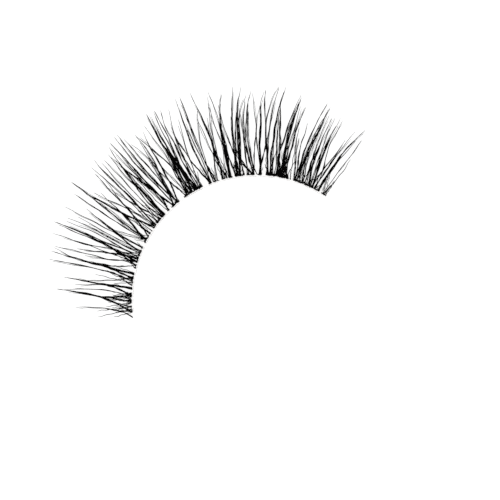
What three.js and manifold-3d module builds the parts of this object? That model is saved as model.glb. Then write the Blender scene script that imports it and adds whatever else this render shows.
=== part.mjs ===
// A false eyelash strip for one eye: a thin clear band, bent to the curve of the upper eyelid, with a row of
// black lash tufts on its upper face. Each tuft is a flat head, cured onto the band, and a fan of tapered
// locks that drop to the surface just past the band, run along it and then curl up to their points.
//
// Millimetres, +Z up. The origin is the middle of the band's underside, which is the face that takes the
// adhesive. X runs along the band from the inner to the outer corner of the eye, Y points the way the middle
// lashes point, and the strip lies on the plane z = 0.
import * as THREE from 'three';
import { mergeVertices } from 'three/addons/utils/BufferGeometryUtils.js';
import Module from 'manifold-3d';

const wasm = await Module();
wasm.setup();

// Band
const BAND_LENGTH = 33.3;       // along the middle of the band
const BAND_RADIUS = 14.4;       // of the band's middle line, seen from above
const BAND_WIDTH = 0.75;
const BAND_THICKNESS = 0.2;

// Tuft heads
const BARE_LIP = 0.22;          // band left clear between its inner edge and the heads
const HEAD_WIDTH = 0.44;        // across the band
const HEAD_HEIGHT = 0.26;
const HEAD_CHAMFER = 0.07;
const SEAT_GAP = 0.03;          // film of cured adhesive between a head and the band

// Locks
const LASH_REACH = 10.4;        // the longest lock, seen from above, from the band's middle line to its point
const LOCK_THICKNESS = 0.22;
const LOCK_POINT = 0.04;        // thickness where the point starts
const LOCK_LIFT = 0.02;         // from a head's underside to the underside of its locks
const DROP_RUN = 1.6;           // from the band's middle line to where a lock first lies on the surface
const FLAT_RUN = 2.4;           // and to where it starts to curl up
const TIP_ANGLE = 60;           // slope of the longest lock at its point, in degrees
const EDGE_CLEARANCE = 0.08;    // between the band's outer edge and a lock that has started to drop

// Ratios and counts
const LOCK_FILL = 0.86;         // a lock's width at the head, as a share of its own stretch of the head
const LOCK_SWEEP = 1.8;         // 1 sweeps evenly from root to point, more turns outwards sooner
const LOCK_TAPER = 1.3;         // 1 narrows evenly along the curl, more stays broad for longer
const POINT_START = 0.93;       // share of the reach where the point starts
const HEAD_CHAMFER_LIMIT = 0.25;    // the most of a short head's length that one chamfer takes
const BAND_EASING = 0.25;       // share of the band's thickness eased off its edges
const LOCK_SIDES = 5;
const CURL_SECTIONS = 4;        // from the end of the flat run to the start of the point
const BAND_SEGMENTS = 24;
const HEAD_SEGMENTS = 1;

const HALF_ANGLE = BAND_LENGTH / BAND_RADIUS / 2;
const HEAD_FLOOR = BAND_THICKNESS + SEAT_GAP;
const HEAD_MIDDLE = BARE_LIP + (HEAD_WIDTH - BAND_WIDTH) / 2;   // outwards from the band's middle line
const DROP_START = BAND_WIDTH / 2 + EDGE_CLEARANCE;
const CURL_RADIUS = (LASH_REACH - FLAT_RUN) / Math.sin(THREE.MathUtils.degToRad(TIP_ANGLE));
const MERGE_TOLERANCE = 1e-4;   // corners this close are one corner
const TANGENT_STEP = 1e-3;      // how far ahead a lock's direction is read

// Each tuft from the inner to the outer corner. The head runs from one share of the band's length to another.
// Its locks stand side by side along it, each with the share of the band that its point faces, and its reach
// as a share of the longest lock's.
const TUFTS = [
  { from: 0.004, to: 0.032, faces: [0.016, 0.043], reach: [0.36, 0.57] },
  { from: 0.036, to: 0.066, faces: [0.062, 0.084], reach: [0.42, 0.80] },
  { from: 0.071, to: 0.106, faces: [0.091, 0.112], reach: [0.66, 0.73] },
  { from: 0.114, to: 0.146, faces: [0.124, 0.147], reach: [0.48, 0.92] },
  { from: 0.150, to: 0.160, faces: [0.163], reach: [0.91] },
  { from: 0.168, to: 0.188, faces: [0.175, 0.185], reach: [0.89, 0.65] },
  { from: 0.192, to: 0.210, faces: [0.199, 0.214], reach: [0.96, 0.90] },
  { from: 0.214, to: 0.241, faces: [0.222, 0.233, 0.242], reach: [0.98, 0.86, 0.84] },
  { from: 0.245, to: 0.259, faces: [0.257, 0.273], reach: [0.95, 0.72] },
  { from: 0.265, to: 0.297, faces: [0.289, 0.306], reach: [0.91, 1.00] },
  { from: 0.302, to: 0.320, faces: [0.320], reach: [0.67] },
  { from: 0.325, to: 0.341, faces: [0.337, 0.351], reach: [0.74, 0.88] },
  { from: 0.345, to: 0.369, faces: [0.366, 0.374], reach: [0.96, 0.87] },
  { from: 0.373, to: 0.394, faces: [0.385, 0.398], reach: [0.84, 0.93] },
  { from: 0.402, to: 0.414, faces: [0.408, 0.417], reach: [0.88, 0.96] },
  { from: 0.420, to: 0.456, faces: [0.430, 0.438, 0.449], reach: [0.98, 0.98, 0.80] },
  { from: 0.474, to: 0.499, faces: [0.468, 0.480, 0.494], reach: [0.85, 0.80, 0.87] },
  { from: 0.503, to: 0.528, faces: [0.508, 0.517, 0.526], reach: [0.98, 0.92, 0.95] },
  { from: 0.532, to: 0.554, faces: [0.538, 0.552], reach: [0.93, 0.90] },
  { from: 0.569, to: 0.591, faces: [0.564, 0.575, 0.586], reach: [0.72, 0.98, 0.98] },
  { from: 0.595, to: 0.614, faces: [0.597, 0.609], reach: [0.66, 0.98] },
  { from: 0.622, to: 0.641, faces: [0.624, 0.638], reach: [0.70, 0.88] },
  { from: 0.645, to: 0.662, faces: [0.649, 0.667], reach: [0.90, 0.89] },
  { from: 0.666, to: 0.703, faces: [0.681, 0.694, 0.708], reach: [0.77, 0.95, 0.94] },
  { from: 0.709, to: 0.737, faces: [0.718, 0.730], reach: [0.80, 0.88] },
  { from: 0.744, to: 0.762, faces: [0.741, 0.757], reach: [0.84, 0.88] },
  { from: 0.774, to: 0.813, faces: [0.770, 0.786, 0.802], reach: [0.86, 0.95, 0.95] },
  { from: 0.817, to: 0.856, faces: [0.820, 0.836, 0.852], reach: [0.72, 0.90, 0.80] },
  { from: 0.872, to: 0.909, faces: [0.866, 0.891, 0.902], reach: [0.58, 0.89, 0.85] },
  { from: 0.913, to: 0.944, faces: [0.913, 0.929, 0.939], reach: [0.76, 0.80, 0.76] },
  { from: 0.948, to: 0.972, faces: [0.970, 0.986], reach: [0.74, 0.82] },
  { from: 0.978, to: 0.997, faces: [0.993, 1.002], reach: [0.70, 0.46] },
];

const bandMaterial = new THREE.MeshStandardMaterial({
  color: 0xf1eeea, roughness: 0.25, metalness: 0, transparent: true, opacity: 0.55,
});
const lashMaterial = new THREE.MeshStandardMaterial({ color: 0x14110f, roughness: 0.5, metalness: 0 });

// The direction, from the centre of the band's curve, that a share of the band's length faces.
const facing = (share) => Math.PI / 2 + HALF_ANGLE * (1 - 2 * share);

// The point over the surface that faces a share of the band, a distance outwards from the band's middle line.
function over(share, outwards, height) {
  const angle = facing(share);
  const radius = BAND_RADIUS + outwards;
  return new THREE.Vector3(radius * Math.cos(angle), radius * Math.sin(angle) - BAND_RADIUS, height);
}

// A stretch along the band's curve as an outline seen from above.
function stretchOutline(from, to, middle, width) {
  const outline = new THREE.Shape();
  const outer = BAND_RADIUS + middle + width / 2;
  const inner = BAND_RADIUS + middle - width / 2;
  outline.absarc(0, -BAND_RADIUS, outer, facing(to), facing(from), false);
  outline.absarc(0, -BAND_RADIUS, inner, facing(from), facing(to), true);
  return outline;
}

function solidFrom(geometry) {
  const bare = geometry.index ? geometry.toNonIndexed() : geometry.clone();
  bare.deleteAttribute('normal');
  bare.deleteAttribute('uv');
  const merged = mergeVertices(bare, MERGE_TOLERANCE);
  return new wasm.Manifold(new wasm.Mesh({
    numProp: 3,
    vertProperties: new Float32Array(merged.attributes.position.array),
    triVerts: new Uint32Array(merged.index.array),
  }));
}

function geometryFrom(solid) {
  const mesh = solid.getMesh();
  const geometry = new THREE.BufferGeometry();
  geometry.setAttribute('position', new THREE.BufferAttribute(mesh.vertProperties, 3));
  geometry.setIndex(new THREE.BufferAttribute(mesh.triVerts, 1));
  geometry.computeVertexNormals();
  return geometry;
}

// The clear band, flat underneath, with its long edges eased.
function makeBand() {
  const easing = BAND_THICKNESS * BAND_EASING;
  const geometry = new THREE.ExtrudeGeometry(stretchOutline(0, 1, 0, BAND_WIDTH - 2 * easing), {
    depth: BAND_THICKNESS - 2 * easing,
    bevelThickness: easing,
    bevelSize: easing,
    bevelSegments: 1,
    curveSegments: BAND_SEGMENTS,
  });
  geometry.translate(0, 0, easing);
  const band = new THREE.Mesh(geometry, bandMaterial);
  band.name = 'band';
  return band;
}

// A tuft's head, from one share of the band to another, with a chamfer round it.
function headSolid(from, to) {
  const length = (to - from) * BAND_LENGTH;
  const chamfer = Math.min(HEAD_CHAMFER, length * HEAD_CHAMFER_LIMIT);
  const trim = chamfer / BAND_LENGTH;
  const outline = stretchOutline(from + trim, to - trim, HEAD_MIDDLE, HEAD_WIDTH - 2 * chamfer);
  const geometry = new THREE.ExtrudeGeometry(outline, {
    depth: HEAD_HEIGHT - 2 * chamfer,
    bevelThickness: chamfer,
    bevelSize: chamfer,
    bevelSegments: 1,
    curveSegments: HEAD_SEGMENTS,
  });
  geometry.translate(0, 0, HEAD_FLOOR + chamfer);
  return solidFrom(geometry);
}

// A closed skin through sections with equal numbers of corners, ending in a point.
function loftToPoint(sections, point) {
  const sides = sections[0].length;
  const corners = [...sections.flat(), point];
  const triangles = [];
  for (let s = 0; s < sections.length - 1; s += 1) {
    for (let i = 0; i < sides; i += 1) {
      const a = s * sides + i;
      const b = s * sides + (i + 1) % sides;
      triangles.push(a, b + sides, b, a, a + sides, b + sides);
    }
  }
  const last = (sections.length - 1) * sides;
  for (let i = 0; i < sides; i += 1) triangles.push(last + (i + 1) % sides, last + i, corners.length - 1);
  for (let i = 1; i < sides - 1; i += 1) triangles.push(0, i, i + 1);
  const geometry = new THREE.BufferGeometry();
  geometry.setAttribute('position', new THREE.Float32BufferAttribute(corners.flatMap((c) => c.toArray()), 3));
  geometry.setIndex(triangles);
  return geometry;
}

// How high a lock's middle line runs at a distance outwards from the band's middle line.
function lockHeight(outwards, thickness) {
  const overBand = HEAD_FLOOR + LOCK_LIFT + thickness / 2;
  const lying = thickness / 2;
  if (outwards <= DROP_START) return overBand;
  if (outwards <= DROP_RUN) {
    return THREE.MathUtils.mapLinear(outwards, DROP_START, DROP_RUN, overBand, lying);
  }
  const curled = Math.max(0, outwards - FLAT_RUN);
  return lying + CURL_RADIUS - Math.sqrt(CURL_RADIUS ** 2 - curled ** 2);
}

// One tapered lock, from the head at a share of the band to its point.
function lockSolid(root, faces, reach, width) {
  const at = (outwards, thickness) => {
    const share = root + (faces - root) * (1 - (1 - outwards / reach) ** LOCK_SWEEP);
    return over(share, outwards, lockHeight(outwards, thickness));
  };
  const pointStart = POINT_START * reach;
  const stops = [HEAD_MIDDLE, DROP_START, DROP_RUN, FLAT_RUN].filter((stop) => stop < pointStart);
  const curlStart = stops[stops.length - 1];
  for (let i = 1; i <= CURL_SECTIONS; i += 1) {
    stops.push(THREE.MathUtils.lerp(curlStart, pointStart, i / CURL_SECTIONS));
  }
  const up = new THREE.Vector3(0, 0, 1);
  const halfTurn = Math.PI / LOCK_SIDES;
  const sections = stops.map((outwards) => {
    const narrowing = THREE.MathUtils.clamp((outwards - curlStart) / (pointStart - curlStart), 0, 1);
    const thickness = THREE.MathUtils.lerp(LOCK_THICKNESS, LOCK_POINT, narrowing);
    const broad = THREE.MathUtils.lerp(width, LOCK_POINT, narrowing ** LOCK_TAPER);
    const centre = at(outwards, thickness);
    const ahead = at(outwards + TANGENT_STEP, thickness).sub(centre).normalize();
    const across = new THREE.Vector3().crossVectors(ahead, up).normalize();
    const top = narrowing > 0 ? new THREE.Vector3().crossVectors(across, ahead).normalize() : up;
    return Array.from({ length: LOCK_SIDES }, (_, side) => {
      const turn = halfTurn * (1 + 2 * side);
      return centre.clone()
        .addScaledVector(across, broad / 2 * Math.sin(turn))
        .addScaledVector(top, -thickness / 2 * Math.cos(turn) / Math.cos(halfTurn));
    });
  });
  return solidFrom(loftToPoint(sections, at(reach, LOCK_POINT)));
}

// A head with its locks side by side, joined to it.
function makeTuft({ from, to, faces, reach }, index) {
  const stretch = (to - from) / faces.length;
  const width = LOCK_FILL * stretch * BAND_LENGTH;
  const locks = faces.map((share, i) => {
    const root = from + stretch * (i + 1 / 2);
    return lockSolid(root, share, reach[i] * LASH_REACH, width);
  });
  const solid = locks.reduce((joined, lock) => joined.add(lock), headSolid(from, to));
  const tuft = new THREE.Mesh(geometryFrom(solid), lashMaterial);
  tuft.name = `tuft_${String(index + 1).padStart(2, '0')}`;
  return tuft;
}

const strip = new THREE.Group();
strip.name = 'false_eyelash_strip';
strip.add(makeBand());
TUFTS.forEach((tuft, index) => strip.add(makeTuft(tuft, index)));

export default strip;
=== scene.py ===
# %% [markdown]
# # A false eyelash strip
# A false eyelash strip is a thin clear band with several hundred fine black fibres set into it. The fibres are
# tapered plastic bristles, tied or glued in small groups, and each group shows as a dark block on the band.
# This lesson dresses a plain solid model of the strip: the solids give the place and the size of everything,
# and the scene grows real fibres in their place, one tapered tube each.

# %% Load the solid model
import math
import random

import bpy
from mathutils import Matrix, Vector


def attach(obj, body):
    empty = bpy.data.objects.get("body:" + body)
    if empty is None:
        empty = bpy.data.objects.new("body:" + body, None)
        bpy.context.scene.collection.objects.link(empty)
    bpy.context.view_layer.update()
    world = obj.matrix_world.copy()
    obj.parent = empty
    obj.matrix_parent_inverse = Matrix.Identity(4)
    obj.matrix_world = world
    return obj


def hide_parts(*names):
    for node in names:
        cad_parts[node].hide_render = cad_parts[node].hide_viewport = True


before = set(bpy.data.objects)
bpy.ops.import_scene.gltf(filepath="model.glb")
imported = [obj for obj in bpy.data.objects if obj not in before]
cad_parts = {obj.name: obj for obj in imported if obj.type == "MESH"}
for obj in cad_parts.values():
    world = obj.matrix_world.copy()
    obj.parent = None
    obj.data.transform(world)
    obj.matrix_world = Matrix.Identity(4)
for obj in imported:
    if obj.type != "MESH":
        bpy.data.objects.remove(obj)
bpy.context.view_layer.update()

# %% [markdown]
# ## Sizes
# The photograph shows no ruler. The line that the inner ends of the roots make is taken as 33 mm long, as on
# most strips, and that gives the size of one pixel. Everything that is read from the picture is kept in pixels,
# outwards from that root line, so that it can be checked against the picture, and is turned into metres here.
# A place along the band is a share of its length, from the inner corner of the eye, 0, to the outer corner, 1.

# %% Name the sizes
MM = 0.001
PX = 0.1143 * MM
BAND_RADIUS = 14.4 * MM         # of the band's middle line
BAND_LENGTH = 33.3 * MM
BAND_WIDTH = 0.75 * MM
BAND_THICKNESS = 0.2 * MM
ROOT_RADIUS = 14.25 * MM        # of the line that the inner ends of the roots make
HALF_ANGLE = BAND_LENGTH / BAND_RADIUS / 2
print("band covers", round(math.degrees(2 * HALF_ANGLE), 1), "degrees")

# %% [markdown]
# ## Camera
# The picture is taken straight down on the table, with the strip turned by about a third of a right angle. A
# long lens is used, as for any small product, because a short one would spread the raised points of the lashes
# outwards. The camera's three directions are set as the columns of its matrix, which is surer than angles.

# %% Set the camera
PICTURE_SIDE = 500
VIEW_MIDDLE = Vector((2.40, -9.24, 0)) * MM
VIEW_UP = Vector((0.5314, 0.8471, 0)).normalized()
LENS, SENSOR = 160, 36
camera_height = PICTURE_SIDE * PX * LENS / SENSOR

lens = bpy.data.cameras.new("camera")
lens.lens, lens.sensor_width = LENS, SENSOR
lens.clip_start, lens.clip_end = 0.01, 10
camera = bpy.data.objects.new("camera", lens)
bpy.context.collection.objects.link(camera)
view_back = Vector((0, 0, 1))
view_right = VIEW_UP.cross(view_back)
turn = Matrix((view_right, VIEW_UP, view_back)).transposed()
camera.matrix_world = Matrix.Translation(VIEW_MIDDLE + view_back * camera_height) @ turn.to_4x4()
bpy.context.scene.camera = camera
print("camera height", round(camera_height, 3), "m")

# %% [markdown]
# ## Writing shaders as sums
# A material is a graph of nodes. Wiring it by hand hides what it does, so one small class wraps a socket and
# gives it the signs of arithmetic, and another holds the material and adds its nodes.

# %% Make the shader helpers
class Wire:
    """An output socket that can be added, subtracted, multiplied and raised to a power."""

    def __init__(self, finish, socket):
        self.finish, self.socket = finish, socket

    def sum(self, operation, left, right):
        return self.finish.node("ShaderNodeMath", {"operation": operation}, {0: left, 1: right})

    def __add__(self, other):
        return self.sum("ADD", self, other)

    def __sub__(self, other):
        return self.sum("SUBTRACT", self, other)

    def __rsub__(self, other):
        return self.sum("SUBTRACT", other, self)

    def __mul__(self, other):
        return self.sum("MULTIPLY", self, other)

    def __pow__(self, other):
        return self.sum("POWER", self, other)

    __radd__, __rmul__ = __add__, __mul__


class Finish:
    """A material whose nodes are added one at a time."""

    def __init__(self, name):
        self.material = bpy.data.materials.new(name)
        self.material.use_nodes = True
        self.tree = self.material.node_tree
        self.tree.nodes.clear()

    def node(self, kind, settings=None, inputs=None, output=0):
        made = self.tree.nodes.new(kind)
        for name, value in (settings or {}).items():
            setattr(made, name, value)
        for name, value in (inputs or {}).items():
            if isinstance(value, Wire):
                self.tree.links.new(value.socket, made.inputs[name])
            else:
                made.inputs[name].default_value = value
        return Wire(self, made.outputs[output]) if made.outputs else None

    def noise(self, scale, detail):
        place = self.node("ShaderNodeTexCoord", output="Object")
        return self.node("ShaderNodeTexNoise", {}, {"Vector": place, "Scale": scale, "Detail": detail})

    def carried(self, name):
        return self.node("ShaderNodeAttribute", {"attribute_name": name}, output="Fac")

    def mix(self, share, first, second):
        settings = {"data_type": "RGBA", "clamp_factor": True}
        return self.node("ShaderNodeMix", settings, {0: share, 6: first, 7: second}, output=2)

    def bump(self, height, strength, distance):
        inputs = {"Strength": strength, "Distance": distance, "Height": height}
        return self.node("ShaderNodeBump", {}, inputs)

    def surface(self, **sockets):
        inputs = {name.replace("_", " "): value for name, value in sockets.items()}
        shader = self.node("ShaderNodeBsdfPrincipled", {}, inputs)
        self.node("ShaderNodeOutputMaterial", {}, {"Surface": shader})
        return self.material


print("shader helpers ready")

# %% [markdown]
# ## Table and light
# The strip lies on a pure white ground in even light, so that only the lashes are dark. White paper would show
# the strip's shadow as a grey haze, and a lamp strong enough to hide it would wash out the finest points. So the
# table glows by itself, as a light table does: it is white without much light on it, and the shadows stay faint.
# A pale sky gives light from everywhere, and one large soft lamp up on the left gives the fibres a faint shine
# along one side. The table lies a hair below the strip's own zero, so that the two flat faces don't flicker into
# each other.

# %% Lay the table and set the light
TABLE_SIDE = 3.0
TABLE_DROP = 0.01 * MM
TABLE_GLOW = 0.82
SKY_STRENGTH = 1.0
LAMP_WIDTH = 0.5
LAMP_WATTS = 1.6
LAMP_PLACE = Vector((-0.25, 0.22, 0.5))
WHITE = (1, 1, 1, 1)

paper = Finish("white_table")
grain = paper.noise(900, 3)
table_material = paper.surface(
    Base_Color=paper.mix(grain, (0.24, 0.24, 0.24, 1), (0.26, 0.26, 0.26, 1)),
    Roughness=0.9,
    Specular_IOR_Level=0.1,
    Emission_Color=WHITE,
    Emission_Strength=TABLE_GLOW,
)

table_mesh = bpy.data.meshes.new("table")
half = TABLE_SIDE / 2
corners = [(x * half, y * half, -TABLE_DROP) for x, y in ((-1, -1), (1, -1), (1, 1), (-1, 1))]
table_mesh.from_pydata(corners, [], [(0, 1, 2, 3)])
table_mesh.materials.append(table_material)
table = bpy.data.objects.new("table", table_mesh)
bpy.context.collection.objects.link(table)

world = bpy.data.worlds.new("pale_sky")
world.use_nodes = True
sky = world.node_tree.nodes["Background"]
sky.inputs["Color"].default_value = WHITE
sky.inputs["Strength"].default_value = SKY_STRENGTH
bpy.context.scene.world = world

lamp_data = bpy.data.lights.new("soft_lamp", "AREA")
lamp_data.shape, lamp_data.size = "DISK", LAMP_WIDTH
lamp_data.energy = LAMP_WATTS
lamp = bpy.data.objects.new("soft_lamp", lamp_data)
lamp.location = VIEW_MIDDLE + LAMP_PLACE
lamp.rotation_mode = "QUATERNION"
lamp.rotation_quaternion = (lamp.location - VIEW_MIDDLE).to_track_quat("Z", "Y")
bpy.context.collection.objects.link(lamp)
bpy.context.scene.view_settings.view_transform = "Standard"
print("table, sky and lamp set")

# %% [markdown]
# ## Finishes
# The fibres are black plastic bristles. They look dull black from above, a little brown where the taper lets
# light through, and no two are quite the same black. Each fibre therefore carries two numbers on its mesh: how
# far along it a point is, and a shade of its own. The shine is kept very low, because a fibre is thinner than a
# pixel, and a usual shine along its top would lift the whole of it to grey.

# %% Mix the black of the fibres
FIBRE_SHINE = 0.04
FIBRE_IOR = 1.3

fibre = Finish("lash_fibre")
along = fibre.carried("along")
shade = fibre.carried("shade")
body_black = fibre.mix(shade, (0.0002, 0.0002, 0.0002, 1), (0.0012, 0.001, 0.0009, 1))
streaks = fibre.noise(9000, 3)
fibre_material = fibre.surface(
    Base_Color=fibre.mix(along ** 3 * 0.8, body_black, (0.006, 0.0048, 0.0042, 1)),
    Roughness=streaks * 0.22 + (shade * 0.12 + 0.38),
    Normal=fibre.bump(streaks, 0.35, 0.004 * MM),
    Specular_IOR_Level=FIBRE_SHINE,
    IOR=FIBRE_IOR,
)
print("made", fibre_material.name)

# %% [markdown]
# The roots sit in black adhesive, which cures harder and glossier than the fibres and has a slightly lumpy skin.
# One noise is used three times, so that the bumps, the shine and the black change at the same places.

# %% Mix the root glue
GLUE_SHINE = 0.12

glue = Finish("root_glue")
lumps = glue.noise(5200, 4)
glue_material = glue.surface(
    Base_Color=glue.mix(lumps, (0.0012, 0.001, 0.0012, 1), (0.006, 0.005, 0.0055, 1)),
    Roughness=lumps * 0.25 + 0.28,
    Normal=glue.bump(lumps, 0.6, 0.012 * MM),
    Specular_IOR_Level=GLUE_SHINE,
)
print("made", glue_material.name)

# %% [markdown]
# The band is a film of clear cured adhesive. It is nearly invisible on white: only its edges and a faint warm
# tint give it away. Transparency by alpha is used, because real refraction in a film this thin would cost many
# samples and show no more. The rounded inner edge of a real film bends light aside and draws a faint grey line.
# Alpha can't do that, so that line is painted shade: a thin bead with a grey finish of its own along the edge,
# which comes and goes along it.

# %% Mix the clear band and the painted shade of its edge
clear = Finish("clear_band")
ripples = clear.noise(1400, 3)
specks = clear.noise(7000, 2)
clear_material = clear.surface(
    Base_Color=clear.mix(ripples, (0.66, 0.54, 0.46, 1), (0.84, 0.76, 0.70, 1)),
    Roughness=specks * 0.2 + 0.12,
    Alpha=ripples * 0.05 + 0.02,
    Normal=clear.bump(ripples, 0.5, 0.02 * MM),
)

# Painted shade: the bead's grey stands in for the faint line that the film's rounded inner edge draws by bending
# light.
shade_line = Finish("clear_band_painted_shade_line")
shade_line_ripples = shade_line.noise(1100, 3)
shade_line_material = shade_line.surface(
    Base_Color=shade_line.mix(shade_line_ripples, (0.10, 0.09, 0.085, 1), (0.22, 0.20, 0.19, 1)),
    Roughness=0.3,
    Alpha=shade_line_ripples * 0.7 - 0.2,
)
print("made", clear_material.name, "and", shade_line_material.name)

# %% [markdown]
# ## Meshes from rings
# A fibre, a root block and the band are all made the same way: rings of points, one after another, joined by
# four-sided faces and closed at both ends. One small class collects the rings of many tubes into one mesh. It
# keeps the two numbers for each point, and for each face its kind: which of the piece's finishes it has.

# %% Make the ring weaver
class Weave:
    """Collects closed tubes, ring by ring, into one mesh."""

    def __init__(self):
        self.points, self.faces, self.kinds = [], [], []
        self.along, self.shade = [], []

    def tube(self, rings, shade=0.5, kind=0, point=None):
        """Joins rings of equal size. A flat face closes the first, and a flat face or a point the last."""
        size, start = len(rings[0]), len(self.points)
        for step, ring in enumerate(rings):
            self.points += ring
            self.along += [step / len(rings)] * size
        faces = [tuple(start + i for i in reversed(range(size)))]
        for step in range(len(rings) - 1):
            low = start + step * size
            for i in range(size):
                after = (i + 1) % size
                faces.append((low + i, low + after, low + size + after, low + size + i))
        last = start + (len(rings) - 1) * size
        if point is None:
            faces.append(tuple(last + i for i in range(size)))
        else:
            self.points.append(point)
            self.along.append(1.0)
            tip = len(self.points) - 1
            faces += [(last + i, last + (i + 1) % size, tip) for i in range(size)]
        self.shade += [shade] * (len(self.points) - start)
        self.faces += faces
        self.kinds += [kind] * len(faces)

    def finish(self, name, materials):
        mesh = bpy.data.meshes.new(name)
        mesh.from_pydata(self.points, [], self.faces)
        for material in materials:
            mesh.materials.append(material)
        mesh.polygons.foreach_set("material_index", self.kinds)
        mesh.polygons.foreach_set("use_smooth", [True] * len(self.faces))
        for label, values in (("along", self.along), ("shade", self.shade)):
            mesh.attributes.new(label, "FLOAT", "POINT").data.foreach_set("value", values)
        mesh.validate()
        piece = bpy.data.objects.new(name, mesh)
        bpy.context.collection.objects.link(piece)
        return piece


print("weaver ready")

# %% [markdown]
# ## Places on the strip
# Every place is given as the band sees it: a share along the band and a distance outwards from the root line.
# A raised point looks further out in the picture than it is, because it is nearer the camera. So each place
# that is read from the picture is slid back along the line of sight to the height that it really has.

# %% Find places
def facing(share):
    return math.pi / 2 + HALF_ANGLE * (1 - 2 * share)


def over(share, outwards, height):
    radius = ROOT_RADIUS + outwards
    angle = facing(share)
    return Vector((radius * math.cos(angle), radius * math.sin(angle) - BAND_RADIUS, height))


def seen(share, outwards, height):
    flat = over(share, outwards, 0)
    near = VIEW_MIDDLE + (flat - VIEW_MIDDLE) * (1 - height / camera_height)
    return Vector((near.x, near.y, height))


print("middle of the band at", over(0.5, BAND_RADIUS - ROOT_RADIUS, 0))

# %% [markdown]
# ## Curl
# Seen from the side, a lash leaves the top of the band, sinks to the table within two millimetres, lies there
# for a moment and then curls up along part of a circle, which is how heat-set bristles behave. The same curve
# is used in the solid model, so the fibres stay where the solids are. The finest points, which reach a little
# further than the solids do, run on straight.

# %% Work out the curl
HEAD_TOP = 0.46 * MM
HEAD_FLOOR = 0.24 * MM
DROP_FROM = 0.5 * MM
DROP_TO = 1.75 * MM
CURL_FROM = 2.55 * MM
CURL_RADIUS = 9.24 * MM
CURL_RUN = 7.6 * MM
LONGEST = 92 * PX


def smooth(value):
    value = min(1.0, max(0.0, value))
    return value * value * (3 - 2 * value)


def rise(outwards, root_height, lying):
    sunk = smooth((outwards - DROP_FROM) / (DROP_TO - DROP_FROM))
    past = max(0.0, outwards - CURL_FROM)
    curled = min(CURL_RUN, past)
    curl = CURL_RADIUS - math.sqrt(CURL_RADIUS**2 - curled**2) + (past - curled)
    return root_height + (lying - root_height) * sunk + curl


print("the longest lash curls up to", round(rise(LONGEST, HEAD_TOP, 0) / MM, 2), "mm above where it lies")

# %% [markdown]
# ## One line
# A fibre follows a line: a function that gives the share of the band for a distance outwards. A line is written
# as a few places and is rounded through them, since a heat-set bristle has no corners. The slope at a place is
# the one between its two neighbours, which is the plainest rule for a smooth curve through given points.

# %% Round a line through places
def rounded(places):
    """A smooth line through places, each a share in thousandths and a distance outwards in pixels."""
    last = len(places) - 1
    slopes = []
    for i in range(last + 1):
        (left, near), (right, far) = places[max(0, i - 1)], places[min(last, i + 1)]
        slopes.append((right - left) / (far - near))

    def line(outwards):
        i = max([n for n in range(last) if places[n][1] <= outwards], default=0)
        (left, near), (right, far) = places[i], places[i + 1]
        run = far - near
        t = min(1.0, max(0.0, (outwards - near) / run))
        pull = (1 - t) * slopes[i] - t * slopes[i + 1]
        between = left + (right - left) * smooth(t) + t * (1 - t) * run * pull
        return between / 1000

    return line


def sideways(size, outwards):
    """The share that a size along the band is, at a distance outwards in metres."""
    return size / ((ROOT_RADIUS + outwards) * 2 * HALF_ANGLE)


print("one millimetre at the root line is a share of", round(sideways(MM, 0), 4))

# %% [markdown]
# ## One fibre
# A fibre is a six-sided tube with smooth shading, which is enough at a twelfth of a millimetre. It keeps its
# thickness for seven tenths of its length and then tapers to a point, as a drawn bristle does. A slight wave of
# its own keeps it from looking drawn with a ruler. The fibres of one lash lie beside its line: half apart at the
# root, widest two fifths of the way out and drawn together at the point. A splay moves a root a little to one
# side, so that some fibres cross close to the band.

# %% Grow one fibre
SIDES = 6
STEPS = 26
FIBRE_THICKNESS = 0.083 * MM
POINT_THICKNESS = 0.032 * MM
TAPER_FROM = 0.7
TAPER_BEND = 0.75
WAVE = 0.034 * MM
WAVE_GROWTH = 2.5
SPREAD_ROOT, SPREAD_RISE, SPREAD_FALL = 0.5, 2.2, 2.5
SPLAY_TO = 18                   # pixels outwards
chance = random.Random(11)


def grow(weave, line, start, reach, thickness, root_height, lying, aside=0.0, gather=1.0, splay=0.0):
    """Adds one fibre along a line, a little aside of it, from start to reach in pixels outwards."""
    wave_turns, wave_start = chance.uniform(1.5, 4.0), chance.uniform(0, math.tau)
    centres, widths = [], []
    for step in range(STEPS + 1):
        done = step / STEPS
        pixels = start + (reach - start) * done
        outwards = pixels * PX
        part = max(0.0, pixels) / gather
        spread = SPREAD_ROOT + SPREAD_RISE * part - SPREAD_FALL * part**2
        shift = aside * spread + splay * max(0.0, 1 - max(0.0, pixels) / SPLAY_TO) ** 2
        wave = WAVE * min(1.0, WAVE_GROWTH * done)
        shift += wave * math.sin(wave_start + wave_turns * math.tau * done)
        height = rise(outwards, root_height, lying)
        centres.append(seen(line(pixels) + sideways(shift, outwards), outwards, height))
        left = min(1.0, (1 - done) / (1 - TAPER_FROM))
        widths.append(POINT_THICKNESS + (FIBRE_THICKNESS * thickness - POINT_THICKNESS) * left**TAPER_BEND)
    rings = []
    up = Vector((0, 0, 1))
    turns = [math.tau * i / SIDES for i in range(SIDES)]
    for step in range(STEPS):
        ahead = (centres[step + 1] - centres[max(0, step - 1)]).normalized()
        side = ahead.cross(up).normalized()
        lift = side.cross(ahead)
        radius = widths[step] / 2
        rings.append([centres[step] + radius * (math.cos(a) * side + math.sin(a) * lift) for a in turns])
    weave.tube(rings, shade=chance.random(), point=centres[-1])


print("fibre:", SIDES * STEPS * 2, "triangles or fewer")
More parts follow.
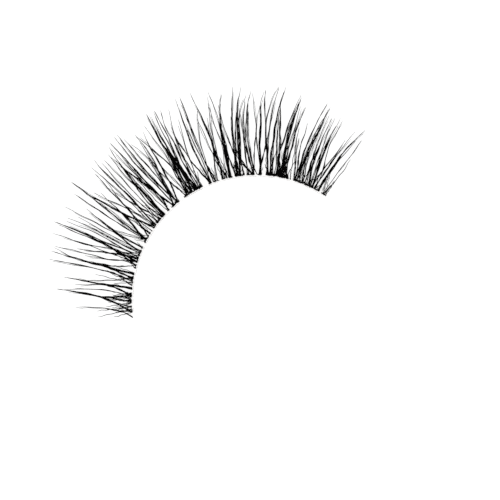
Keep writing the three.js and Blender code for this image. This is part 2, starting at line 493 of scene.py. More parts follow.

# %% [markdown]
# ## Chart of the lashes
# What makes a strip look real is its rhythm: fibres of one group lean together into spikes, neighbouring
# groups cross, and the reach goes up and down. The chart below was read from the picture, group by group
# from the inner corner. A group has the dark blocks of its roots, each with its two ends and its depth, and then
# its lashes. A lash is a few fibres that run to its point, a core of shorter ones that darken it up to some
# distance, and the places that it passes. It may be wider or thinner than usual: many thin fibres side by side
# make the soft grey fans between the spikes. All ends and places are in thousandths of the band and pixels.

# %% Read the chart
def lash(fibres, core, dark_to, *places, wide=1.0, thick=1.0):
    return dict(fibres=fibres, core=core, dark_to=dark_to, places=places, wide=wide, thick=thick)


CHART = [
    ([(18, 32, 3)], [
        lash(1, 1, 24, (2, 0), (14, 4.5), (22, 9), (28, 15), (34, 22), (40, 31), (43, 42), (43.5, 54)),
        lash(1, 0, 0, (18, 0), (15, 7), (10, 16)),
        lash(1, 1, 20, (31, 0), (26, 7), (23.5, 14), (20.5, 20), (16, 32)),
        lash(1, 1, 12, (20, 0), (25, 7), (29, 14)),
        lash(2, 4, 65, (20, 0), (30, 4.5), (40, 9), (50, 14.5), (58, 20), (64, 25), (70, 30), (74, 37), (78, 45),
             (80.5, 55), (83.5, 63), (85.5, 73)),
    ]),
    ([(35, 42, 2.5), (50, 63, 4.5)], [
        lash(1, 1, 22, (41, 0), (36, 10), (34, 16), (32, 33)),
        lash(1, 0, 0, (53, 0), (48, 8), (45, 16), (43, 23)),
        lash(1, 1, 10, (36, 0), (42, 4), (47, 9), (52, 15), (55, 21)),
        lash(1, 2, 14, (55, 0), (57, 5), (59, 10), (62, 16), (66, 24)),
        lash(1, 2, 20, (63, 0), (60, 7), (64, 14), (69, 26), (77, 42), (83.5, 60)),
        lash(1, 1, 10, (50, 0), (45, 5), (41, 10), (38, 17)),
        lash(1, 2, 12, (62, 0), (68, 5), (72, 10), (74, 16)),
    ]),
    ([(70, 88, 3.5), (96, 105, 2)], [
        lash(2, 3, 28, (79, 0), (75, 6), (72, 12), (69.5, 20), (70, 28), (76, 42), (82.5, 58)),
        lash(1, 1, 26, (77, 0), (80, 7), (85, 15), (89, 24), (90.5, 31), (88.5, 46), (86.5, 66)),
        lash(2, 4, 32, (80, 0), (86, 6), (94, 12), (100, 18), (104, 25), (107, 34), (109, 44), (111, 55),
             (113, 67)),
        lash(2, 4, 34, (101, 0), (103, 6), (105, 15), (105.5, 26), (107.5, 38), (112, 56)),
        lash(1, 0, 0, (103, 0), (105, 14), (104, 32), (101, 44), (98, 55)),
        lash(1, 1, 10, (72, 0), (68, 5), (63, 11), (61, 17)),
        lash(1, 1, 10, (86, 0), (82, 5), (78, 11), (76, 17)),
    ]),
    ([(112, 126, 2), (127, 145, 3.5)], [
        lash(2, 1, 20, (136, 0), (131, 9), (126, 13), (122, 19), (117, 29), (111, 45), wide=2, thick=0.7),
        lash(2, 3, 36, (128, 0), (131, 6), (135, 11), (140, 18), (143, 24), (145, 31), (146.5, 52), (146, 85)),
        lash(2, 3, 30, (137, 0), (141, 6), (146, 13), (151, 20), (155, 28), (157.5, 42), (161, 70)),
        lash(1, 1, 10, (110, 0), (116, 4), (123, 8), (131, 12), (136, 19)),
        lash(1, 1, 10, (124, 0), (120, 5), (115, 10), (113, 16)),
        lash(1, 0, 0, (119, 0), (124, 16), (130, 36)),
    ]),
    ([(147, 157, 3)], [
        lash(2, 3, 62, (152, 0), (152, 12), (154, 20), (156.5, 30), (157, 44), (159.5, 60), (161.5, 72),
             (163, 84)),
        lash(1, 0, 0, (155, 0), (156, 20), (158, 45), (162, 66), (171, 83)),
    ]),
    ([(170, 187, 3.5)], [
        lash(2, 1, 32, (179, 2), (171, 10), (163, 20), (161.5, 30), (160, 45)),
        lash(2, 4, 42, (180, 0), (186, 4), (192, 8), (199, 14), (205, 21), (210, 28), (214, 36), (215.5, 46),
             (217, 64), (219, 86)),
        lash(1, 0, 0, (184, 0), (186, 12), (179, 24), (177.5, 36), (177, 56), (175, 82)),
    ]),
    ([(192, 209, 3)], [
        lash(1, 0, 0, (194, 0), (189, 10), (181, 22), (176, 34), (172, 50)),
        lash(2, 3, 44, (206, 0), (205.5, 8), (203, 14), (199, 22), (195, 30), (191, 38), (187, 47), (183, 60)),
        lash(1, 1, 30, (193, 0), (194, 12), (195, 24), (197, 40), (198, 60), (199.5, 88)),
        lash(1, 0, 0, (208, 0), (209, 20), (206, 34), (201, 48), (198.5, 60), (199.5, 80)),
        lash(2, 3, 30, (195, 0), (199, 7), (203, 13), (207, 20), (212, 28), (216.5, 38), (219, 50), (221.5, 62),
             (222.5, 72), (222, 90)),
    ]),
    ([(213, 240, 3.5)], [
        lash(2, 1, 20, (211, 0), (215, 6), (218.5, 14), (219.5, 24), (219.5, 38), (222.5, 55), (222.5, 66),
             (222, 82)),
        lash(1, 1, 40, (222, 0), (220, 10), (222, 20), (227.5, 33), (231, 44), (234, 55), (232.5, 66), (232, 79)),
        lash(1, 1, 62, (228, 0), (228, 10), (231, 20), (234.5, 30), (238, 42), (240, 56), (240, 66), (239, 80)),
        lash(1, 0, 0, (236, 0), (239, 18), (243, 34), (246, 48), (250, 70)),
        lash(5, 0, 0, (232, 2), (231, 12), (232.5, 22), (235, 32), (238, 42), (240, 52), wide=2, thick=0.4),
        lash(2, 3, 60, (230, 0), (235, 7), (240, 13), (246, 20), (251, 26), (256, 32), (260.5, 38), (265, 47),
             (270, 58), (274, 66)),
        lash(1, 1, 20, (217, 0), (214, 8), (211, 18), (212.5, 30)),
    ]),
    ([(243, 252, 2.5)], [
        lash(1, 1, 40, (246, 0), (249, 12), (252.5, 28), (255, 44), (256.5, 60), (257.5, 87)),
        lash(1, 1, 36, (250, 0), (251, 10), (253.5, 20), (257.5, 30), (262, 42), (268, 55)),
    ]),
    ([(265, 297, 2.5)], [
        lash(4, 0, 0, (277, 2), (271, 10), (264, 22), (260, 30), (258, 40), wide=3, thick=0.55),
        lash(2, 0, 0, (277, 0), (278, 12), (280.5, 28), (284, 45), (287, 62), (290, 84)),
        lash(1, 1, 40, (281, 0), (283, 12), (287, 25), (293, 40), (299, 53), (303, 65), (305, 75), (307.5, 92)),
        lash(7, 0, 0, (281, 3), (284, 12), (288, 25), (293.5, 38), (298.5, 50), (302, 62), wide=2.2, thick=0.42),
        lash(2, 4, 46, (278, 0), (282, 5), (288, 11), (295, 17), (302, 23), (308, 31), (311.5, 38), (315, 46),
             (318, 53), (322, 62)),
        lash(1, 1, 20, (292, 0), (299, 4), (305, 9), (308, 15), (313, 21)),
    ]),
    ([(300, 308, 3), (312, 317, 2)], [
        lash(2, 3, 44, (304, 0), (306, 8), (311, 14), (318, 21), (325, 27), (330, 34), (333, 41), (337, 50),
             (342, 61), (349, 78)),
        lash(1, 1, 20, (314, 0), (316, 8), (318.5, 16), (323, 25), (331, 37), (338, 47), (345, 55), (350, 65)),
        lash(1, 1, 14, (305, 0), (307, 14), (309, 28), (311, 40)),
    ]),
    ([(324, 339, 3)], [
        lash(2, 3, 46, (333, 0), (327, 6), (322.5, 12), (318.5, 18), (314.5, 24), (311.5, 30), (309.5, 38),
             (307, 50), (305.5, 60), (304.5, 70), (307, 92)),
        lash(1, 1, 30, (329, 0), (324, 8), (320.5, 15), (316, 22), (312, 32), (309, 46), (306.5, 60), (305, 74)),
        lash(2, 0, 0, (332, 0), (331, 20), (327, 36), (320, 52), (314, 68), thick=0.7),
        lash(1, 1, 24, (333, 0), (336, 8), (340, 17), (344, 26), (349, 42), (352, 60), (354, 85)),
        lash(1, 1, 40, (338, 0), (336.5, 8), (334, 18), (333, 30), (332.5, 42)),
    ]),
    ([(345, 369, 4)], [
        lash(2, 3, 68, (341, 0), (343, 8), (347.5, 17), (352.5, 26), (356.5, 34), (359.5, 44), (361, 54),
             (364, 66), (366.5, 77), (369.5, 88)),
        lash(1, 2, 40, (362, 0), (360, 8), (356.5, 15), (352.5, 23), (349, 31), (345.5, 40), (343, 52), (342, 60)),
        lash(1, 1, 30, (352, 0), (356, 8), (361, 16), (362.5, 26), (363.5, 38), (366, 50), (370, 64), (375.5, 80)),
        lash(1, 1, 14, (348, 0), (352, 7), (349, 14), (344, 22)),
        lash(1, 1, 16, (366, 0), (362, 7), (366, 14), (369, 20)),
    ]),
    ([(371, 390, 4)], [
        lash(1, 0, 0, (372, 0), (370, 14), (372.5, 30), (377, 46), (380, 60), (383, 80)),
        lash(1, 2, 40, (376, 0), (378, 10), (379, 20), (383, 30), (388, 40), (389, 50), (391, 59), (395, 69),
             (398, 80)),
        lash(2, 2, 62, (382, 0), (384, 14), (387, 24), (391, 33), (393, 42), (397, 52), (400, 62), (404, 73),
             (409, 86)),
        lash(1, 3, 62, (387, 0), (386.5, 8), (390, 16), (392.5, 26), (391.5, 36), (392.5, 46), (396, 54),
             (399, 62), (400, 70)),
        lash(1, 1, 30, (389, 0), (389, 10), (393, 20), (397, 30), (396, 40)),
        lash(6, 0, 0, (385, 2), (388, 12), (391, 24), (394, 34), (397, 44), (401, 56), wide=1.6, thick=0.42),
    ]),
    ([(403, 411, 2)], [
        lash(2, 3, 70, (405, 0), (411, 5), (416, 10), (418.5, 16), (417.5, 26), (416.5, 38), (417, 52), (418, 64),
             (417.5, 76), (417.5, 88)),
        lash(1, 0, 0, (410, 0), (408.5, 14), (409, 36), (411, 55), (410.5, 66), (410, 82)),
        lash(1, 0, 0, (404, 0), (401, 8), (400, 16), (402, 30), (404, 44)),
        lash(4, 0, 0, (409, 2), (412, 14), (413.5, 28), (413.5, 42), (414, 56), (415, 68), wide=1.6, thick=0.42),
    ]),
    ([(420, 457, 4)], [
        lash(2, 4, 64, (428, 0), (425, 7), (421, 14), (416.5, 22), (412, 31), (408.5, 39), (405.5, 47),
             (402.5, 56), (400.5, 64), (398, 80)),
        lash(2, 1, 82, (436, 0), (434.5, 8), (432.5, 18), (430.5, 28), (429, 40), (428, 55), (429.5, 70),
             (432, 90)),
        lash(2, 3, 50, (450, 0), (445, 8), (441, 15), (438.5, 22), (437, 32), (436, 44), (436.5, 60), (437.5, 73),
             (438.5, 90)),
        lash(2, 3, 22, (432, 0), (438, 7), (443, 12), (447, 18), (448.5, 30), (448, 44), (446, 60), (444.5, 82)),
        lash(2, 3, 60, (451, 0), (456, 6), (462, 13), (467, 20), (470, 28), (472.5, 35), (475, 43), (477.5, 51),
             (478.5, 59), (481.5, 68), (485, 76)),
        lash(1, 2, 46, (446, 0), (448, 9), (452, 18), (457, 28), (460.5, 36), (464, 44), (462.5, 50),
             (464.5, 58), (466, 70)),
        lash(1, 0, 0, (447, 0), (447.5, 12), (453, 26), (461, 38), (468, 48), (470, 58), (468, 77)),
        lash(4, 0, 0, (434, 3), (433, 14), (432.5, 26), (432.5, 40), (433, 54), (435, 68), wide=1.6, thick=0.36),
        lash(6, 0, 0, (448, 2), (449, 12), (452, 24), (456, 34), (459, 44), (462, 52), wide=2, thick=0.42),
    ]),
    ([(476, 500, 4)], [
        lash(1, 3, 22, (484, 0), (479, 8), (474, 14), (469.5, 20), (465.5, 28), (462, 38), (460, 48), (459, 57),
             (454, 66), (449, 73)),
        lash(3, 0, 0, (491, 2), (487, 12), (481, 22), (476.5, 32), (474, 40), wide=2.5, thick=0.6),
        lash(2, 0, 0, (499, 0), (499.5, 15), (498, 30), (491, 42), (483.5, 52), (478.5, 60), (473, 70), (468, 78)),
        lash(2, 3, 60, (490, 0), (493, 10), (498, 20), (502, 29), (506.5, 38), (508.5, 46), (506.5, 56),
             (507, 66), (509, 76), (511, 90)),
        lash(1, 1, 30, (497, 0), (495, 10), (493.5, 20), (497, 32), (499.5, 44), (499, 56), (496.5, 68),
             (494, 80)),
    ]),
    ([(499, 512, 4), (513, 521, 1.5)], [
        lash(2, 4, 70, (510, 0), (506, 8), (505, 18), (508, 28), (510, 38), (509, 48), (507, 58), (508.5, 70),
             (511, 88)),
        lash(5, 0, 0, (500, 3), (499, 14), (500, 26), (503, 36), (506, 46), (508, 54), wide=1.6, thick=0.4),
        lash(2, 4, 66, (509, 0), (513, 10), (514.5, 20), (513.5, 32), (512.5, 44), (514, 54), (513, 64),
             (514.5, 74), (517, 84)),
        lash(2, 1, 50, (519, 0), (517, 12), (517, 26), (519.5, 40), (521, 54), (521.5, 64), (523, 75),
             (524.5, 87)),
        lash(2, 4, 52, (524, 0), (519, 10), (517.5, 20), (518.5, 30), (521.5, 40), (524.5, 49), (527, 58),
             (528, 70), (528, 88)),
    ]),
    ([(524, 551, 5)], [
        lash(3, 3, 36, (530, 0), (526.5, 8), (522, 16), (519, 25), (516.5, 36), (513, 48), wide=1.3),
        lash(2, 3, 66, (533, 0), (531, 12), (531, 22), (529.5, 32), (532, 42), (533.5, 52), (532.5, 64),
             (533, 73), (536, 80), (539, 86)),
        lash(1, 2, 60, (538, 0), (536.5, 12), (534.5, 22), (538, 32), (539, 42), (541.5, 52), (543.5, 58),
             (546.5, 66), (550, 74), (554.5, 83)),
        lash(1, 1, 40, (545, 0), (543.5, 14), (540.5, 26), (537.5, 36), (536, 48)),
        lash(1, 1, 20, (551, 0), (547.5, 8), (547.5, 18), (550.5, 28), (554.5, 40), (559, 52), (565, 70)),
    ]),
    ([(572, 586, 3)], [
        lash(2, 3, 24, (580, 0), (573, 6), (566, 12), (559, 19), (553, 27), (549.5, 36), (546.5, 45), (543.5, 54),
             (543, 65)),
        lash(2, 2, 28, (582, 0), (579.5, 9), (576, 18), (573, 27), (571, 38), (571, 48), (573, 60), (574.5, 74),
             (575.5, 90)),
        lash(5, 0, 0, (581, 2), (577, 14), (573, 26), (571.5, 38), (571.5, 50), (573.5, 62), wide=1.5, thick=0.4),
        lash(1, 1, 10, (580, 0), (583, 8), (588, 15), (591, 24), (593.5, 34), (595.5, 44), (600, 53), (606, 62),
             (612, 73)),
        lash(1, 0, 0, (584, 0), (583, 14), (580.5, 30), (577.5, 46), (575, 60), (574.5, 76)),
    ]),
    ([(592, 604, 2.5), (605, 613, 1.5)], [
        lash(2, 3, 24, (601, 0), (597, 7), (592, 14), (589, 21), (586, 30), (584, 42), (584.5, 58), (586.5, 74),
             (585.5, 90)),
        lash(1, 1, 20, (593, 0), (591, 10), (588, 20), (587.5, 34), (587.5, 50), (586.5, 66), (586, 86)),
        lash(3, 0, 0, (604, 1), (609, 9), (614, 18), (619, 26), (622.5, 34), (623, 42), wide=2, thick=0.6),
        lash(1, 0, 0, (607, 0), (612, 14), (619, 26), (625, 36), (626, 50), (627.5, 62)),
    ]),
    ([(623, 636, 3), (637, 643, 2)], [
        lash(1, 3, 28, (640, 1), (634, 7), (627, 12), (620.5, 19), (617.5, 28), (613.5, 36), (611, 44), (609, 54),
             (606, 64)),
        lash(2, 3, 74, (625.5, 0), (627, 9), (625.5, 18), (623.5, 27), (623.5, 36), (622.5, 45), (620.5, 53),
             (618, 61), (615.5, 69), (612.5, 78), (608.5, 90)),
        lash(1, 1, 20, (634, 0), (631, 12), (628.5, 22), (626.5, 32), (625, 42), (626, 54)),
        lash(1, 0, 0, (629, 0), (627.5, 20), (629.5, 40), (632, 56), (636, 66), (639.5, 82)),
        lash(1, 1, 14, (640, 0), (642, 6), (639, 12), (634, 20)),
    ]),
    ([(645, 660, 3)], [
        lash(3, 6, 56, (651, 0), (651.5, 10), (653.5, 20), (654.5, 30), (654.5, 40), (654.5, 50), (657, 58),
             (660, 66), (663, 73), (669, 82), wide=1.6),
        lash(1, 1, 60, (650, 0), (649, 10), (650.5, 22), (651, 36), (652.5, 50), (652, 60), (650.5, 70),
             (648, 78), (643, 87)),
        lash(1, 0, 0, (654, 0), (653, 16), (650, 32), (644.5, 46), (640, 58), (638, 75)),
        lash(1, 0, 0, (646, 0), (643, 12), (646, 24), (648, 36)),
    ]),
    ([(667, 703, 4)], [
        lash(1, 3, 36, (672, 0), (667, 8), (662.5, 16), (659, 24), (657, 33), (656, 44)),
        lash(1, 3, 44, (686, 0), (684, 8), (681, 16), (677, 24), (672, 31), (667.5, 39), (664, 47), (661, 56),
             (659.5, 64), (659, 72)),
        lash(2, 6, 72, (688, 0), (690, 10), (692, 20), (694, 30), (695.5, 40), (696.5, 50), (697.5, 58),
             (699.5, 66), (703.5, 75), (710, 87), wide=1.2),
        lash(1, 3, 58, (680, 0), (680, 10), (682, 20), (685, 30), (687.5, 40), (691, 50), (694.5, 58),
             (699, 66), (704, 76)),
        lash(2, 1, 60, (677, 0), (676, 12), (678.5, 24), (681, 36), (682.5, 48), (684.5, 58), (687.5, 68),
             (691, 78), (694.5, 88)),
        lash(5, 0, 0, (677, 2), (677.5, 14), (679, 28), (680.5, 42), (683, 54), (686, 66), wide=1.8, thick=0.42),
        lash(1, 2, 16, (702, 0), (698, 7), (692, 13), (685, 19), (679, 26), wide=1.5),
        lash(1, 5, 15, (681, 0), (677, 8), (680, 16), (684, 24), wide=3),
        lash(1, 0, 0, (698, 0), (696, 10), (698, 24), (700, 42), (703, 60), (710, 70), (720, 78)),
    ]),
    ([(708, 736, 3)], [
        lash(2, 4, 22, (729, 0), (721, 4), (711, 7), (703, 11), (696, 15), (690, 20), (686, 27), wide=1.5),
        lash(2, 4, 36, (732, 0), (727, 7), (722, 14), (718, 21), (714.5, 28), (713.5, 36), (715.5, 46),
             (719, 56), (722, 66), (725, 74), (731, 82)),
        lash(1, 2, 24, (736, 0), (733, 7), (728, 14), (723.5, 22), (719, 32), (719.5, 46), (722, 60), (724, 72)),
        lash(1, 1, 52, (712, 0), (712, 14), (710, 28), (708.5, 38), (707.5, 48), (706, 56), (703.5, 66)),
        lash(3, 0, 0, (716, 0), (711, 14), (709.5, 30), (710.5, 46), (713, 60), (717, 73), wide=2, thick=0.65),
        lash(5, 0, 0, (735, 2), (729, 14), (724, 26), (721.5, 38), (722, 50), (724, 62), wide=1.6, thick=0.4),
        lash(1, 1, 44, (734, 0), (735.5, 10), (737, 22), (739.5, 34), (742, 44), (741, 54), (737.5, 66),
             (734.5, 80)),
    ]),
    ([(747, 762, 5.5)], [
        lash(1, 2, 14, (746, 0), (738, 5), (731, 10), (726.5, 16)),
        lash(1, 2, 48, (753, 0), (754.5, 8), (751.5, 18), (746.5, 26), (743.5, 34), (742.5, 44), (745, 56),
             (750, 67)),
        lash(2, 4, 66, (755, 0), (756, 10), (754.5, 20), (752, 30), (752.5, 40), (753.5, 50), (753, 60),
             (751.5, 67), (753.5, 74), (757.5, 81)),
        lash(1, 3, 34, (757, 0), (758.5, 10), (763, 18), (767, 25), (770.5, 33), (774, 44), (777, 54),
             (779.5, 64), (782.5, 75), (788, 88)),
    ]),
    ([(775, 812, 4)], [
        lash(2, 3, 48, (783, 0), (779, 10), (776, 18), (772, 26), (769, 34), (767, 44), (764.5, 54), (762, 65),
             (760.5, 74), (761.5, 83)),
        lash(1, 2, 40, (777, 0), (779, 10), (777, 22), (775, 34), (776, 46), (778.5, 56), (780.5, 64), (783, 74),
             (788, 87)),
        lash(1, 0, 0, (781, 0), (776, 16), (770, 32), (767, 46), (769, 58), (772.5, 68), (778, 77), (786.5, 87)),
        lash(2, 4, 62, (792, 0), (789, 10), (786.5, 20), (789, 30), (789.5, 40), (790, 50), (792, 60), (795, 70),
             (798, 79), (802, 88)),
        lash(1, 3, 24, (800, 0), (796.5, 8), (794, 16), (791.5, 26), (790, 36)),
        lash(2, 4, 64, (811, 0), (812, 8), (812.5, 16), (810.5, 26), (807.5, 36), (803.5, 44), (801, 54),
             (798.5, 64), (796, 73), (799, 82)),
        lash(1, 2, 60, (803, 0), (806, 10), (803, 20), (800, 30), (798, 40), (796.5, 52), (796, 64), (796, 72)),
        lash(1, 1, 18, (786, 0), (790, 7), (795, 14), (799, 22)),
    ]),
    ([(815, 856, 6), (859, 863, 2)], [
        lash(2, 3, 50, (818, 0), (813, 8), (809, 16), (810.5, 24), (813.5, 32), (817.5, 40), (820.5, 50),
             (824.5, 60), (828, 70), (832, 77), (836, 83)),
        lash(3, 6, 74, (830, 0), (829, 10), (827, 20), (826.5, 30), (826.5, 40), (828, 50), (830, 58),
             (832.5, 66), (835, 73), (837.5, 81), wide=1.3),
        lash(1, 3, 34, (838, 0), (836, 10), (834, 20), (833.5, 30), (834.5, 40), (837.5, 52), (839, 64),
             (840, 72)),
        lash(2, 3, 44, (848, 0), (842, 8), (840, 16), (841, 26), (842.5, 36), (842.5, 46), (845, 56), (848, 65),
             (852, 73)),
        lash(1, 5, 14, (825, 0), (826, 8), (822, 16), (817, 24), wide=3),
        lash(1, 4, 22, (824, 0), (819, 8), (812, 16), (806, 24), (802, 32), wide=2),
        lash(1, 5, 13, (842, 0), (836, 8), (832, 18), wide=3),
        lash(1, 5, 15, (834, 0), (832, 10), (836, 20), wide=3),
        lash(1, 1, 10, (861, 0), (858, 6), (855, 14), (853, 22), (850, 32)),
    ]),
    ([(872, 910, 4)], [
        lash(2, 1, 26, (876, 0), (871, 8), (865, 15), (858, 23), (853, 31), (850, 40), (848, 50)),
        lash(2, 2, 22, (879, 0), (877, 9), (872, 17), (867, 26), (864.5, 34), (865.5, 46), (865.5, 57)),
        lash(3, 0, 0, (874, 0), (868, 10), (862, 20), (857, 30), (855, 40), wide=2, thick=0.6),
        lash(2, 2, 58, (877, 0), (879, 10), (879, 20), (878.5, 30), (880, 40), (882, 50), (884.5, 60), (888, 70),
             (893, 82)),
        lash(2, 1, 30, (886, 0), (884, 10), (885, 22), (888, 34), (892, 45), (896, 54), (898, 62), (899.5, 70),
             (901.5, 79), wide=3, thick=0.7),
        lash(13, 0, 0, (888, 4), (888, 18), (890, 32), (892, 45), (894.5, 56), (897, 66), wide=1.7, thick=0.4),
        lash(2, 1, 22, (882, 0), (884, 12), (888, 24), (892, 36), (895, 48), (897, 57), (898.5, 66), (900.5, 76)),
        lash(1, 2, 16, (893, 0), (889, 8), (885, 14), (882, 20)),
        lash(1, 2, 24, (903, 0), (898, 8), (894, 15), (890, 24), (888, 34)),
        lash(1, 1, 30, (908, 0), (903, 10), (897, 20), (893, 30), (891.5, 42)),
    ]),
    ([(911, 945, 3)], [
        lash(1, 3, 44, (914, 0), (911, 10), (908.5, 20), (906.5, 30), (905, 40), (903.5, 50), (904.5, 60),
             (905, 72)),
        lash(2, 4, 46, (929, 0), (924, 7), (919, 13), (915, 20), (913, 28), (912, 36), (911, 44), (912, 56),
             (913, 70)),
        lash(1, 1, 16, (920, 0), (916, 8), (912, 16), (909, 26)),
        lash(1, 0, 0, (931, 0), (927, 14), (923, 28), (920, 42), (918, 56), (919, 71)),
        lash(2, 4, 62, (943, 0), (939, 9), (935, 17), (932, 25), (930.5, 33), (928.5, 43), (927.5, 52),
             (928.5, 60), (930.5, 73)),
        lash(1, 1, 40, (936, 0), (931, 14), (927, 28), (924.5, 38), (926, 50), (929, 64)),
        lash(1, 2, 44, (940, 0), (943, 9), (947, 17), (951, 25), (954, 32), (957.5, 40), (963, 56)),
    ]),
    ([(947, 971, 3.5)], [
        lash(1, 2, 44, (953, 0), (952, 10), (949, 20), (943.5, 28), (938, 35), (935, 42), (934, 50), (935.5, 60),
             (937.5, 72)),
        lash(1, 3, 50, (950, 0), (953, 9), (956, 17), (958, 25), (960, 33), (962.5, 41), (965, 49), (968, 58),
             (973, 68)),
        lash(2, 4, 46, (964, 0), (965, 10), (966.5, 18), (969.5, 27), (971, 36), (974, 46), (978, 56), (983, 65),
             (990, 75)),
        lash(1, 1, 20, (967, 0), (969, 12), (971, 22), (974, 34), (979, 48), (985, 60)),
    ]),
    ([(978, 1000, 1.5)], [
        lash(2, 0, 0, (981, 2), (976, 10), (972, 20), (970, 30), wide=2, thick=0.6),
        lash(1, 0, 0, (984, 0), (987, 12), (990, 26), (992, 38), (994, 50), (995.5, 65)),
        lash(1, 2, 22, (988, 0), (993, 10), (996, 17), (998.5, 24), (1000, 32), (999, 42)),
        lash(1, 0, 0, (996, 0), (997, 12)),
    ]),
]
print("chart:", len(CHART), "groups,", sum(len(lashes) for _, lashes in CHART), "lashes")

# %% [markdown]
# ## Lashes
# The fibres of a lash start side by side on the band and draw together towards the point. They lie in two
# layers, because round bristles that are pressed together ride on each other. The first fibre reaches the point,
# the next ones end a little short of it, and the core's fibres end part of the way along. Most long lashes also
# have a finer companion, which starts with them and drifts away to one side: these are the pale strokes beside
# the dark spikes.

# %% Grow the lashes
LAYERS = 0.24 * MM
PITCH = 0.031 * MM
SPLAY = 0.1 * MM
PAST_POINT = 3                  # pixels, because the last of a fibre is too fine to be seen
SHORT_BY = 0.12                 # share of the reach, at most
CORE_REACH = (0.75, 1.15)       # of the distance that the core darkens
LONG_LASH = 50                  # pixels
COMPANIONS = 0.9                # share of the long lashes
DRIFT = (1.2, 4.0)              # thousandths of the band
FINE = (0.45, 0.7)              # of a fibre's thickness


def grow_lash(weave, fibres, core, dark_to, places, wide, thick):
    """Grows all fibres of one lash, and gives their number."""
    line = rounded(places)
    start, reach = places[0][1], places[-1][1] + PAST_POINT
    layer = chance.uniform(0, LAYERS)
    for number in range(fibres + core):
        if number == 0:
            own_reach = reach
        elif number < fibres:
            own_reach = reach * (1 - SHORT_BY * chance.random() ** 2)
        else:
            own_reach = min(reach, dark_to * chance.uniform(*CORE_REACH))
        grow(
            weave,
            line,
            start + chance.uniform(-0.3, 0.5),
            own_reach,
            thick * chance.uniform(0.85, 1.1),
            chance.uniform(HEAD_FLOOR, HEAD_TOP),
            layer + FIBRE_THICKNESS * (0.5 + 0.7 * (number % 2)) + chance.uniform(0, 0.02) * MM,
            (number + 1) // 2 * (-1) ** number * PITCH * wide * chance.uniform(0.8, 1.2),
            reach,
            SPLAY * chance.uniform(-1, 1) if number else 0.0,
        )
    if reach <= LONG_LASH or chance.random() >= COMPANIONS:
        return fibres + core
    drift = chance.choice((-1, 1)) * chance.uniform(*DRIFT)
    drifting = [(share + drift * smooth(far / reach), far) for share, far in places]
    grow(
        weave,
        rounded(drifting),
        start,
        reach * chance.uniform(0.82, 0.98),
        chance.uniform(*FINE),
        chance.uniform(HEAD_FLOOR, HEAD_TOP),
        layer + chance.uniform(0.03, 0.15) * MM,
    )
    return fibres + core + 1


print("lashes share", round(LAYERS / MM, 2), "mm of height")

# %% [markdown]
# ## Short crossing lashes
# Between the spikes the real strip has shorter fibres that lean steeply both ways and cross near the band, so
# that small white diamonds show above the root blocks. Their number goes with the length of the block, and they
# are kept from leaning far out over the gaps beside it, which are clear on the real strip.

# %% Grow the crossing lashes
CROSSING_GAP = 0.36 * MM
CROSSING_REACH = (7, 22)        # pixels
CROSSING_LEAN = (0.8, 2.4)      # thousandths of the band for each pixel of reach
CROSSING_BEND = 0.62            # share of the lean that is reached halfway out
OVERHANG = 5                    # thousandths of the band


def grow_crossing(weave, start, end):
    """Grows the crossing lashes of one root block, and gives their number."""
    count = round((end - start) / 1000 * BAND_LENGTH / CROSSING_GAP)
    for number in range(count):
        root = start + (end - start) * (number + chance.random()) / count
        reach = chance.uniform(*CROSSING_REACH)
        lean = chance.choice((-1, 1)) * reach * chance.uniform(*CROSSING_LEAN)
        tip = min(1000, end + OVERHANG, max(0, start - OVERHANG, root + lean))
        grow(
            weave,
            rounded([(root, 0), (root + (tip - root) * CROSSING_BEND, reach / 2), (tip, reach)]),
            chance.uniform(-0.2, 0.5),
            reach,
            chance.uniform(0.65, 1.0),
            chance.uniform(HEAD_FLOOR, HEAD_TOP),
            chance.uniform(0.05, 0.3) * MM,
        )
    return count


print("one crossing lash for each", CROSSING_GAP / MM, "mm of block")

# %% [markdown]
# ## Root blocks
# At the band the fibres of a group are cut off flush and held in black glue, side by side. From above this is
# a solid dark block with a nearly straight inner edge and a ragged outer one. It is made as a low bar along the
# band, whose top is ribbed where fibres lie under the glue. Its ends are rounded, as a drop of glue is.

# %% Set the root blocks
BLOCK_STEP = 0.02 * MM
RIB = 0.075 * MM
LUMP = 0.08 * MM
BLOCK_CORNER = 0.16 * MM
BLOCK_FLOOR = BAND_THICKNESS - 0.005 * MM
# Across the block from its inner to its outer edge, -1 to 1, and upwards from its floor to its top, 0 to 1.
BLOCK_PROFILE = [(-1, 0.1), (-0.94, 0.75), (-0.7, 1), (0, 1), (0.6, 0.8), (1, 0.25), (0.9, 0), (-0.9, 0)]


def set_block(weave, start, end, depth):
    length = (end - start) / 1000 * BAND_LENGTH
    stations = max(8, round(length / BLOCK_STEP))
    lumps = max(2, round(length / LUMP))
    rag = [depth * chance.uniform(0.1, 0.95) for _ in range(lumps + 2)]
    nick = [chance.uniform(-1.0, 0.0) for _ in range(lumps + 2)]
    rings = []
    for station in range(stations + 1):
        done = station / stations
        share = (start + (end - start) * done) / 1000
        ends = min(1.0, min(done, 1 - done) * length / BLOCK_CORNER)
        close = math.sqrt(1 - (1 - ends) ** 2)
        a, b = divmod(done * lumps, 1)
        outer = (rag[int(a)] * (1 - b) + rag[int(a) + 1] * b) * PX
        inner = (nick[int(a)] * (1 - b) + nick[int(a) + 1] * b) * PX
        rib = 0.5 + 0.5 * math.cos(math.tau * done * length / RIB)
        top = HEAD_FLOOR + (0.10 + 0.05 * rib) * MM * (0.4 + 0.6 * close)
        middle = (inner + outer) / 2
        reach = (outer - inner) / 2 * (0.25 + 0.75 * close)
        tall = top - BLOCK_FLOOR
        rings.append([over(share, middle + reach * x, BLOCK_FLOOR + tall * z) for x, z in BLOCK_PROFILE])
    weave.tube(rings, shade=0.3, kind=1)


print("root blocks have a rib every", RIB / MM, "mm")

# %% [markdown]
# ## The tufts
# Each group becomes one piece that stands in for one tuft of the solid model, so it moves and is listed with it.

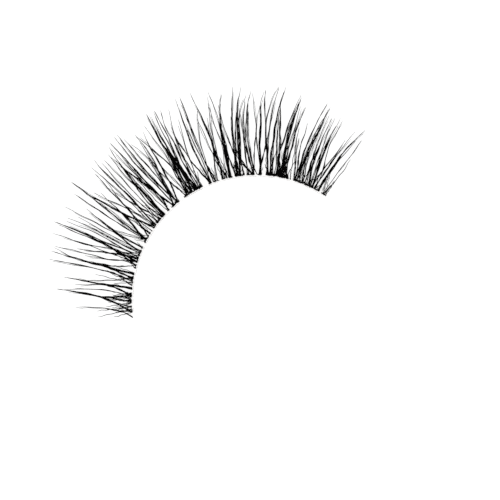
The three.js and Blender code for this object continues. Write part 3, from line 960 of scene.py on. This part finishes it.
# %% Make the tufts
fibre_total, face_total = 0, 0
for number, (blocks, lashes) in enumerate(CHART, 1):
    weave = Weave()
    for one in lashes:
        fibre_total += grow_lash(weave, **one)
    for start, end, depth in blocks:
        fibre_total += grow_crossing(weave, start, end)
        set_block(weave, start, end, depth)
    tuft = weave.finish(f"lashes_{number:02d}", [fibre_material, glue_material])
    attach(tuft, "root")
    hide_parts(f"tuft_{number:02d}")
    face_total += len(weave.faces)
print("tufts:", len(CHART), "fibres:", fibre_total, "faces:", face_total)

# %% [markdown]
# ## The clear band
# The solid band is a plain bent bar. The real one is a poured film, so its top is a little domed and wavy, its
# edges are soft and its ends are round. It is made from rings along the curve, in the solid band's place. The
# bead of painted shade follows the film's inner edge and stops a little before the round ends, so that it stays
# inside the film.

# %% Make the band
BAND_STATIONS = 260
WAVERS = 60
EASE = 0.045 * MM
SHADE_BEAD = 0.05 * MM
BARE_RINGS = 4                  # without a bead at each end


def make_band():
    weave = Weave()
    drift = [chance.uniform(-1, 1) for _ in range(WAVERS)]
    middle = BAND_RADIUS - ROOT_RADIUS
    rings = []
    for station in range(BAND_STATIONS + 1):
        done = station / BAND_STATIONS
        a, b = divmod(done * (WAVERS - 2), 1)
        wave = drift[int(a)] * (1 - smooth(b)) + drift[int(a) + 1] * smooth(b)
        ends = min(1.0, min(done, 1 - done) * BAND_LENGTH / (BAND_WIDTH / 2))
        close = math.sqrt(max(0.0, 1 - (1 - ends) ** 2))
        half = BAND_WIDTH / 2 * (0.3 + 0.7 * close) * (1 + 0.03 * wave)
        top = BAND_THICKNESS * (0.94 + 0.05 * wave)
        profile = [
            (-half + EASE, 0), (half - EASE, 0), (half, EASE), (half, top - EASE), (half - EASE, top),
            (0, top), (-half + EASE, top), (-half, top - EASE), (-half, EASE),
        ]
        rings.append([over(done, middle + x, z) for x, z in profile])
    weave.tube(rings)
    # A thin grey bead along the film's inner edge: painted shade for the line that refraction draws there.
    shade_bead = []
    for ring in rings[BARE_RINGS:-BARE_RINGS]:
        inner_low, inner_top = ring[0], ring[6]
        centre = (inner_low + inner_top) / 2
        out = (ring[1] - ring[0]).normalized() * SHADE_BEAD / 2
        up = Vector((0, 0, SHADE_BEAD / 2))
        shade_bead.append([centre - out - up, centre + out - up, centre + out + up, centre - out + up])
    weave.tube(shade_bead, kind=1)
    return weave.finish("clear_band_film", [clear_material, shade_line_material])


band = make_band()
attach(band, "root")
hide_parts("band")
print("band made with", len(band.data.polygons), "faces")
